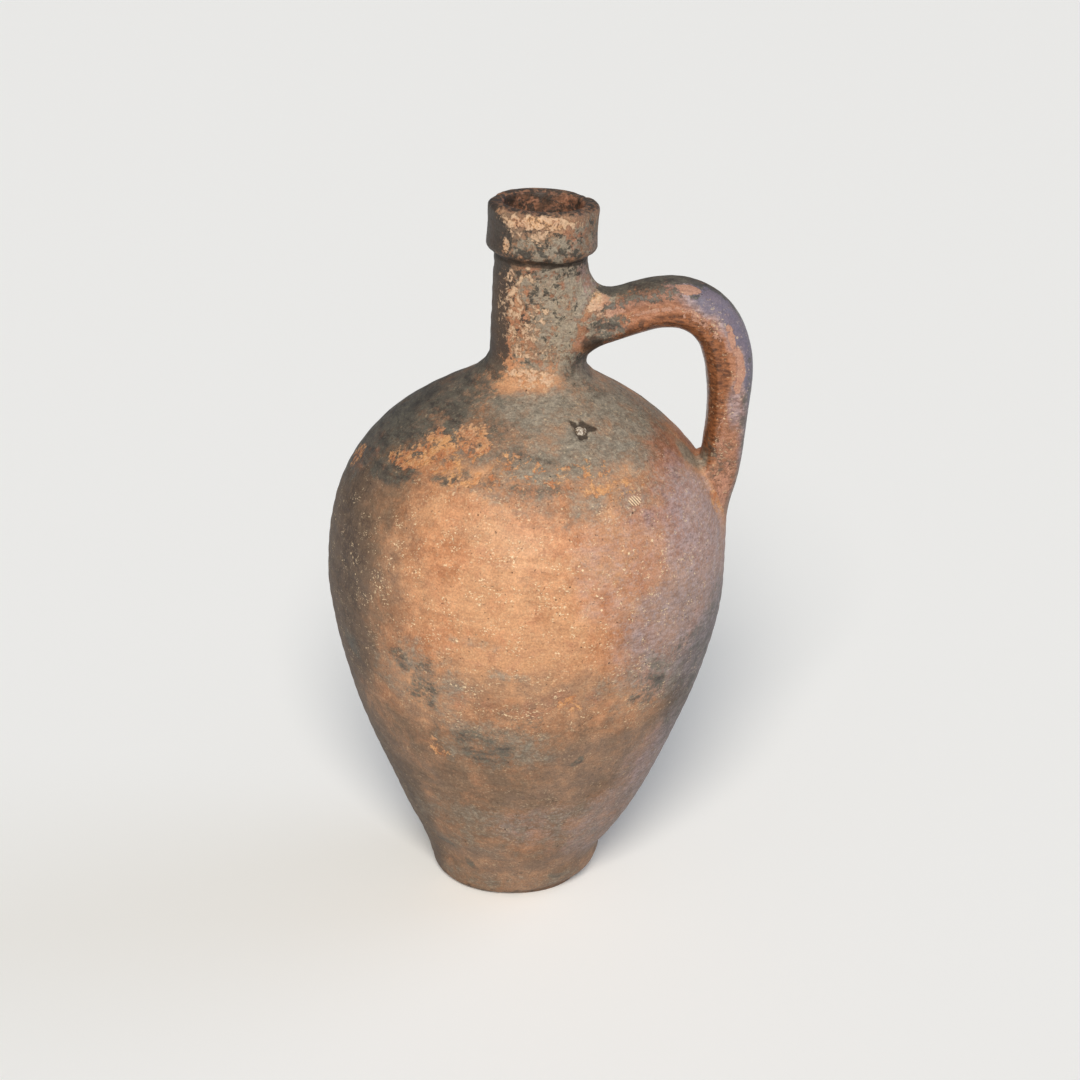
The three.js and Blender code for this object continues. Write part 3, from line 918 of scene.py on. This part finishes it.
def tint(code):
    """A linear colour from a six-digit sRGB code."""
    parts = [int(code[start : start + 2], 16) / 255 for start in (0, 2, 4)]
    linear = [part / 12.92 if part <= 0.04045 else ((part + 0.055) / 1.055) ** 2.4 for part in parts]
    return (*linear, 1.0)


def feed(value, socket):
    """Links a field to a node's input, or gives the input a constant."""
    if isinstance(value, Field):
        socket.id_data.links.new(value.socket, socket)
    else:
        socket.default_value = value


class Field:
    """A value that varies over a surface. Fields add, subtract and multiply like numbers."""

    def __init__(self, socket):
        self.socket = socket
        self.nodes = socket.id_data.nodes

    def math(self, operation, first, second):
        node = self.nodes.new("ShaderNodeMath")
        node.operation = operation
        feed(first, node.inputs[0])
        feed(second, node.inputs[1])
        return Field(node.outputs[0])

    def __add__(self, other):
        return self.math("ADD", self, other)

    def __sub__(self, other):
        return self.math("SUBTRACT", self, other)

    def __rsub__(self, other):
        return self.math("SUBTRACT", other, self)

    def __mul__(self, other):
        return self.math("MULTIPLY", self, other)

    def __truediv__(self, other):
        return self.math("DIVIDE", self, other)

    def sine(self):
        return self.math("SINE", self, 0.0)

    def at_least(self, other):
        return self.math("MAXIMUM", self, other)

    def at_most(self, other):
        return self.math("MINIMUM", self, other)

    def step(self, low, high):
        """Climbs smoothly from 0 to 1 as the field goes from low to high."""
        node = self.nodes.new("ShaderNodeMapRange")
        node.interpolation_type = "SMOOTHSTEP"
        feed(self, node.inputs["Value"])
        node.inputs["From Min"].default_value = low
        node.inputs["From Max"].default_value = high
        return Field(node.outputs["Result"])

    def over(self, colour, tone):
        """This share of a tone, laid over a colour."""
        return mixed(self.nodes, "MIX", self, colour, tint(tone) if isinstance(tone, str) else tone)


def mixed(nodes, blend, share, first, second):
    """Two colours mixed, or multiplied together."""
    node = nodes.new("ShaderNodeMix")
    node.data_type = "RGBA"
    node.blend_type = blend
    feed(share, node.inputs[0])
    feed(first, node.inputs[6])
    feed(second, node.inputs[7])
    return Field(node.outputs[2])


class Pattern:
    """A material, with short ways to make the fields that it is drawn with."""

    def __init__(self, name):
        self.material = bpy.data.materials.new(name)
        self.material.use_nodes = True
        self.nodes = self.material.node_tree.nodes
        self.shader = self.nodes["Principled BSDF"]
        self.place = Field(self.nodes.new("ShaderNodeTexCoord").outputs["Object"])
        self.outward, _, self.height = self.split("ShaderNodeSeparateXYZ", self.place)

    def split(self, kind, whole):
        parts = self.nodes.new(kind)
        feed(whole, parts.inputs[0])
        return [Field(parts.outputs[index]) for index in range(3)]

    def layer(self, name):
        """The three weights of one layer painted on the mesh."""
        attribute = self.nodes.new("ShaderNodeAttribute")
        attribute.attribute_name = name
        return self.split("ShaderNodeSeparateColor", Field(attribute.outputs["Color"]))

    def along(self, direction, place):
        """How far each point lies from the place, along the direction."""
        node = self.nodes.new("ShaderNodeVectorMath")
        node.operation = "DOT_PRODUCT"
        feed(self.place, node.inputs[0])
        node.inputs[1].default_value = direction
        return Field(node.outputs["Value"]) - place.dot(direction)

    def texture(self, kind, size, seed, flat=1.0):
        """A noise or cell texture, moved by its seed and flattened."""
        mapping = self.nodes.new("ShaderNodeMapping")
        mapping.inputs["Location"].default_value = (1.7 * seed, 0.9 * seed, 2.3 * seed)
        mapping.inputs["Scale"].default_value = (1, 1, flat)
        feed(self.place, mapping.inputs["Vector"])
        node = self.nodes.new(kind)
        feed(Field(mapping.outputs["Vector"]), node.inputs["Vector"])
        node.inputs["Scale"].default_value = 1 / size
        return node

    def noise(self, size, seed, detail, rough, flat=1.0, warp=0.0):
        node = self.texture("ShaderNodeTexNoise", size * MM, seed, flat)
        node.inputs["Detail"].default_value = detail
        node.inputs["Roughness"].default_value = rough
        node.inputs["Distortion"].default_value = warp
        return Field(node.outputs["Fac"])

    def spots(self, spacing, radius, share, seed):
        """Round spots of mixed sizes, in this share of the cells."""
        node = self.texture("ShaderNodeTexVoronoi", spacing, seed)
        mixed, drawn, _ = self.split("ShaderNodeSeparateColor", Field(node.outputs["Color"]))
        size = (mixed * 0.8 + 0.3) * (radius / spacing)
        spot = (Field(node.outputs["Distance"]) / size).step(1.2, 0.6)
        return drawn.step(1 - share, 1.02 - share) * spot

    def finish(self, colour, roughness, rise):
        """Gives the shader its colour, its roughness and the fine relief of its surface."""
        bump = self.nodes.new("ShaderNodeBump")
        bump.inputs["Distance"].default_value = 1.0
        feed(rise, bump.inputs["Height"])
        feed(Field(bump.outputs["Normal"]), self.shader.inputs["Normal"])
        feed(colour, self.shader.inputs["Base Color"])
        feed(roughness, self.shader.inputs["Roughness"])
        return self.material


class Clay(Pattern):
    """The clay's patterns, the weights painted on it, and what covers it at each point."""

    def __init__(self, slot, grit):
        super().__init__(slot)
        self.soot, self.ash, self.bloom = self.layer("films")
        self.bare, self.drab, self.rust = self.layer("wear")
        self.polish, self.dirt, self.cream = self.layer("marks")
        for name, settings in PATTERNS.items():
            setattr(self, name, self.noise(*settings))
        self.at_neck = self.height.step(NECK_BASE - 8 * MM, NECK_BASE + 14 * MM)
        self.on_strap = self.outward.step(NECK_RADIUS, 1.6 * NECK_RADIUS)
        self.set_covers()
        self.set_specks(grit)

    def set_covers(self):
        """How much ash, soot with its painted shade, and bare clay there is, with crisper edges at the
        neck.
        """
        ash_edge = self.frayed(self.blotch, self.flakes, 0.4)
        soft_ash = film(self.ash, ash_edge, 2.0, 0.42)
        self.ash_cover = self.or_at_neck(soft_ash, film(self.ash, ash_edge, 2.2, 0.16)) * 0.86
        soot_edge = self.frayed(self.cloud, self.small_cloud, 0.45)
        soft_soot = film(self.soot, soot_edge, 2.4, 0.32)
        self.soot_cover = self.or_at_neck(soft_soot, film(self.soot, soot_edge, 2.4, 0.13)) * 0.9
        self.bare_cover = film(self.bare, self.frayed(self.flakes, self.chips, 0.4), 2.3, 0.09)

    def set_specks(self, grit):
        """Where pale grit shows, and where dark crumbs and pits do."""
        flecks = self.flecks.step(0.58, 0.62) * self.gritty.step(0.5, 0.6)
        specks = flecks.at_least(self.spots(6.5 * MM, 0.85 * MM, 0.3, 9))
        self.specks = specks * (self.cream + 0.4) * (1.0 - self.soot_cover * 0.75) * grit
        self.crumbs = self.crumbly.step(0.37, 0.3) * 0.6
        self.pits = self.spots(8 * MM, 0.6 * MM, 0.4, 11)

    def or_at_neck(self, usual, on_neck):
        return usual + self.at_neck * (on_neck - usual)

    def frayed(self, pattern, neck_pattern, share):
        """The pattern of a film's edge, a smaller one at the neck, with some of the fine one added."""
        return self.or_at_neck(pattern, neck_pattern) + self.fine * share - share / 2

    def coloured(self, layer):
        (pattern, low, high, first, second), *dabs = LAYERS[layer]
        colour = getattr(self, pattern).step(low, high).over(tint(first), second)
        for pattern, low, high, share, tone in dabs:
            colour = (getattr(self, pattern).step(low, high) * share).over(colour, tone)
        return colour


def film(weight, pattern, spread, softness):
    """Where a film covers the clay: its weight broken up by a pattern."""
    raised = weight + (pattern - 0.5) * spread
    return raised.step(0.5 - softness, 0.5 + softness) * weight.step(0.02, 0.22)


def earth_and_shade_over(colour, clay):
    """Drab brown earth, darker where its weight is highest. On the left side, round the lower body and
    low on the right it is partly painted shade, and under the handle's neck root painted shadow.
    """
    earth = clay.drab.step(0.64, 1.06).over(clay.coloured("earth_tones_and_shade"), clay.coloured("dark_earth_tones_and_shade"))
    earth = (clay.fine.step(0.5, 0.66) * 0.3).over(earth, "937c66")
    return (film(clay.drab, clay.blotch, 1.5, 0.42) * 0.92).over(colour, earth)


def rust_over(colour, clay):
    return (film(clay.rust, clay.mottle, 1.7, 0.36) * 0.8).over(colour, clay.coloured("rust"))


def varnish_over(colour, clay):
    """The dark shine that hands have left."""
    return (clay.polish.step(0.42, 0.7) * 0.94).over(colour, clay.coloured("varnish"))


def bloom_and_sky_sheen_over(colour, clay):
    """Purple-grey kiln bloom, partly painted bluish sky sheen on the right flank; the bluer tone where
    it is thickest, on top of the handle's bend, is a painted sky reflection.
    """
    bloom = clay.bloom.step(0.74, 0.94).over(clay.coloured("bloom"), "60657a")
    ragged = clay.fine.at_least(clay.mottle)
    return (film(clay.bloom, ragged, 1.3, 0.46) * 0.8).over(colour, bloom)


def ash_over(colour, clay):
    """Grey ash, creamier on the neck."""
    creamy = clay.small_cloud.step(0.44, 0.58) * clay.at_neck * 0.5
    return clay.ash_cover.over(colour, creamy.over(clay.coloured("ash"), "b9ab92"))


def soot_over(colour, clay):
    """Soot, blackest on the neck, with painted shade under the collar and under the handle's roots."""
    blackened = clay.at_neck * (1.0 - clay.on_strap) * 0.85
    return clay.soot_cover.over(colour, blackened.over(clay.coloured("soot"), "2a2724"))


def bare_over(colour, clay, pink):
    """Clay worn bare, paler above the shoulder and pinker on the strap."""
    upper = clay.height.step(SHOULDER_END - 24 * MM, SHOULDER_END + 8 * MM)
    bare = (upper * clay.chips.step(0.37, 0.57) * 0.72).over(clay.coloured("bare"), "cbb297")
    bare = (clay.on_strap * (0.85 * pink)).over(bare, "a87b68")
    return (clay.bare_cover * 0.9).over(colour, bare)


def scraped(clay):
    """Where something scraped the shoulder: short slanted strokes, side by side, in a small oval."""
    turn = math.radians(SCRAPE_AZIMUTH)
    facing = Vector((math.sin(turn), -math.cos(turn), 0))
    place = float(outer_radius(SCRAPE_HEIGHT)) * facing + Vector((0, 0, SCRAPE_HEIGHT))
    across = clay.along(Vector((math.cos(turn), math.sin(turn), 0)), place)
    rise = clay.along(Vector((0, 0, 1)), place)
    depth = clay.along(facing, place)
    phase = (across + rise * SCRAPE_SLANT) * (2 * math.pi / SCRAPE_SPACING)
    strokes = phase.sine().step(-0.1, 0.5)
    reach = [field * (1 / half) for field, half in zip((across, rise, depth), SCRAPE_HALF_SIZES)]
    oval = reach[0] * reach[0] + reach[1] * reach[1] + reach[2] * reach[2]
    return strokes * oval.step(1.1, 0.8) * clay.fine.step(0.34, 0.44)


def specks_over(colour, clay):
    """Pale grit and scrapes, dark pits and crumbs, and dirt and painted shade over them."""
    colour = (clay.specks + scraped(clay)).at_most(0.92).over(colour, "e2c8a2")
    colour = (clay.pits * 0.85).at_least(clay.crumbs).over(colour, "33291f")
    # The dirt layer: the plug's stain, and painted shade in the collar's undercut and under the
    # handle's roots.
    return (film(clay.dirt, clay.mottle, 1.6, 0.2) * 0.88).over(colour, "33271c")


def clay_roughness(clay, gloss):
    rough = (clay.fine - 0.5) * 0.3 + (0.64 - gloss)
    rough = rough + clay.bare_cover * 0.14 - clay.soot_cover * 0.06
    return (rough + clay.ash_cover * 0.08 - clay.polish * 0.26).at_least(0.28)


def clay_rise(clay, crust):
    """The fine relief of the surface, in mm for each pattern and cover."""
    result = (clay.mottle - 0.5) * (0.34 * crust * MM)
    for pattern, amount in (
        (clay.fine, 0.2 * crust),
        (clay.grain, 0.07),
        (clay.streaks, 0.24),
        (clay.brushed, 0.16),
        (clay.soot_cover, 0.1),
        (clay.ash_cover, 0.09 * crust),
        (clay.bare_cover, -0.15 * crust),
        (clay.pits, -0.4),
        (clay.specks, 0.06),
        (clay.crumbs, -0.12),
    ):
        result = result + pattern * (amount * MM)
    return result


# How the clay of each slot differs: how rough its crust is, how much grit shows, how much glossier
# it is, and how pink it is where it is worn bare.
CLAYS = {
    "foot_clay": {"crust": 0.8, "grit": 0.35},
    "body_clay": {"crust": 0.8, "grit": 0.6},
    "belly_clay": {"crust": 0.8, "grit": 1.0},
    "shoulder_clay": {"crust": 0.9, "grit": 0.8},
    "neck_clay": {"crust": 2.2, "grit": 0.5},
    "collar_clay": {"crust": 2.2, "grit": 0.5, "gloss": 0.04},
    "handle_clay": {"crust": 0.8, "grit": 0.7, "gloss": 0.1, "pink": 1.0},
    "lute_clay": {"crust": 1.5, "grit": 0.6, "gloss": 0.06, "pink": 1.0},
}


def clay_material(slot, crust, grit, gloss=0.0, pink=0.0):
    """Low-fired orange clay under soot, ash and kiln bloom, worn back to bare clay in flakes, with
    painted shade in the earth, soot and dirt layers and painted bluish sky sheen in the bloom. Each
    layer lies over the ones before it."""
    clay = Clay(slot, grit)
    colour = clay.coloured("clay")
    for lay_over in (earth_and_shade_over, rust_over, varnish_over, bloom_and_sky_sheen_over, ash_over, soot_over):
        colour = lay_over(colour, clay)
    colour = specks_over(bare_over(colour, clay, pink), clay)
    shade = clay.grain.step(0.34, 0.66) * 0.3 + 0.85
    colour = mixed(clay.nodes, "MULTIPLY", 1.0, colour, shade)
    clay.shader.inputs["Specular IOR Level"].default_value = 0.4
    return clay.finish(colour, clay_roughness(clay, gloss), clay_rise(clay, crust))


def filler_material():
    """Hard glossy pale filler with dull brown smears."""
    paint = Pattern("plug_filler")
    fine = paint.noise(1.6, 21, 5, 0.6)
    colour = fine.step(0.42, 0.6).over(tint("6b5a49"), "cfc3b2")
    return paint.finish(colour, fine * 0.3 + 0.12, fine * (0.5 * MM))


def finish_pieces(pieces):
    """Gives each piece the material of its slot."""
    materials = {slot: clay_material(slot, **settings) for slot, settings in CLAYS.items()}
    materials["plug_filler"] = filler_material()
    for piece, slot in pieces:
        piece.data.materials.append(materials[slot])


# ---- camera, light and floor ----

CAMERA_DISTANCE = 3.381 * HEIGHT
CAMERA_HEIGHT = 1.868 * HEIGHT
CAMERA_TARGET_HEIGHT = 0.4954 * HEIGHT
CAMERA_ROLL = 2.8
CAMERA_LENS = 86.28


def aim(item, target):
    item.rotation_euler = (Vector(target) - item.location).to_track_quat("-Z", "Y").to_euler()


def add_camera():
    data = bpy.data.cameras.new("camera")
    data.sensor_width = 36
    data.lens = CAMERA_LENS
    camera = bpy.data.objects.new("camera", data)
    camera.location = (0, -CAMERA_DISTANCE, CAMERA_HEIGHT)
    aim(camera, (0, 0, CAMERA_TARGET_HEIGHT))
    camera.rotation_euler.rotate_axis("Z", math.radians(CAMERA_ROLL))
    data.shift_x = 0.0122
    data.shift_y = 0.0094
    bpy.context.scene.collection.objects.link(camera)
    bpy.context.scene.camera = camera


def add_sun(name, azimuth, elevation, spread, strength, colour):
    """A soft sun: azimuth is degrees round from the front towards the handle."""
    data = bpy.data.lights.new(name, "SUN")
    data.angle = math.radians(spread)
    data.energy = strength
    data.color = colour
    lamp = bpy.data.objects.new(name, data)
    around, up = math.radians(azimuth), math.radians(elevation)
    lamp.location = (math.sin(around) * math.cos(up), -math.cos(around) * math.cos(up), math.sin(up))
    aim(lamp, (0, 0, 0))
    bpy.context.scene.collection.objects.link(lamp)


def add_light():
    warm = (1.0, 0.95, 0.88)
    cool = (0.62, 0.76, 1.0)
    add_sun("key", azimuth=-3, elevation=37, spread=26, strength=3.45, colour=warm)
    add_sun("rim", azimuth=112, elevation=30, spread=40, strength=0.55, colour=cool)
    world = bpy.data.worlds.new("studio")
    world.use_nodes = True
    world.node_tree.nodes["Background"].inputs["Color"].default_value = (0.8, 0.88, 1.0, 1)
    world.node_tree.nodes["Background"].inputs["Strength"].default_value = 0.2
    bpy.context.scene.world = world


def add_floor():
    mesh = bpy.data.meshes.new("floor")
    half = 6.0
    corners = [(-half, -half, 0), (half, -half, 0), (half, half, 0), (-half, half, 0)]
    mesh.from_pydata(corners, [], [(0, 1, 2, 3)])
    floor = bpy.data.objects.new("floor", mesh)
    material = bpy.data.materials.new("floor")
    material.use_nodes = True
    shader = material.node_tree.nodes["Principled BSDF"]
    shader.inputs["Base Color"].default_value = (0.95, 0.95, 0.93, 1)
    shader.inputs["Roughness"].default_value = 0.9
    floor.data.materials.append(material)
    bpy.context.scene.collection.objects.link(floor)


# ---- build ----

bpy.context.scene.view_settings.view_transform = "Standard"
add_camera()
add_light()
add_floor()

neck_lute, handle, shoulder_lute = strap_pieces()
finish_pieces(
    (
        (foot_piece(), "foot_clay"),
        (wall_piece("lower_body", FOOT_TOP, BELLY_JOINT, AROUND_BODY), "body_clay"),
        (wall_piece("belly", BELLY_JOINT, SHOULDER_JOINT, AROUND_BODY), "belly_clay"),
        (wall_piece("shoulder", SHOULDER_JOINT, NECK_BASE, AROUND_BODY), "shoulder_clay"),
        (wall_piece("neck", NECK_BASE, COLLAR_BASE, AROUND_NECK), "neck_clay"),
        (collar_piece(), "collar_clay"),
        (handle, "handle_clay"),
        (neck_lute, "lute_clay"),
        (shoulder_lute, "lute_clay"),
        (plug_piece(), "plug_filler"),
    )
)
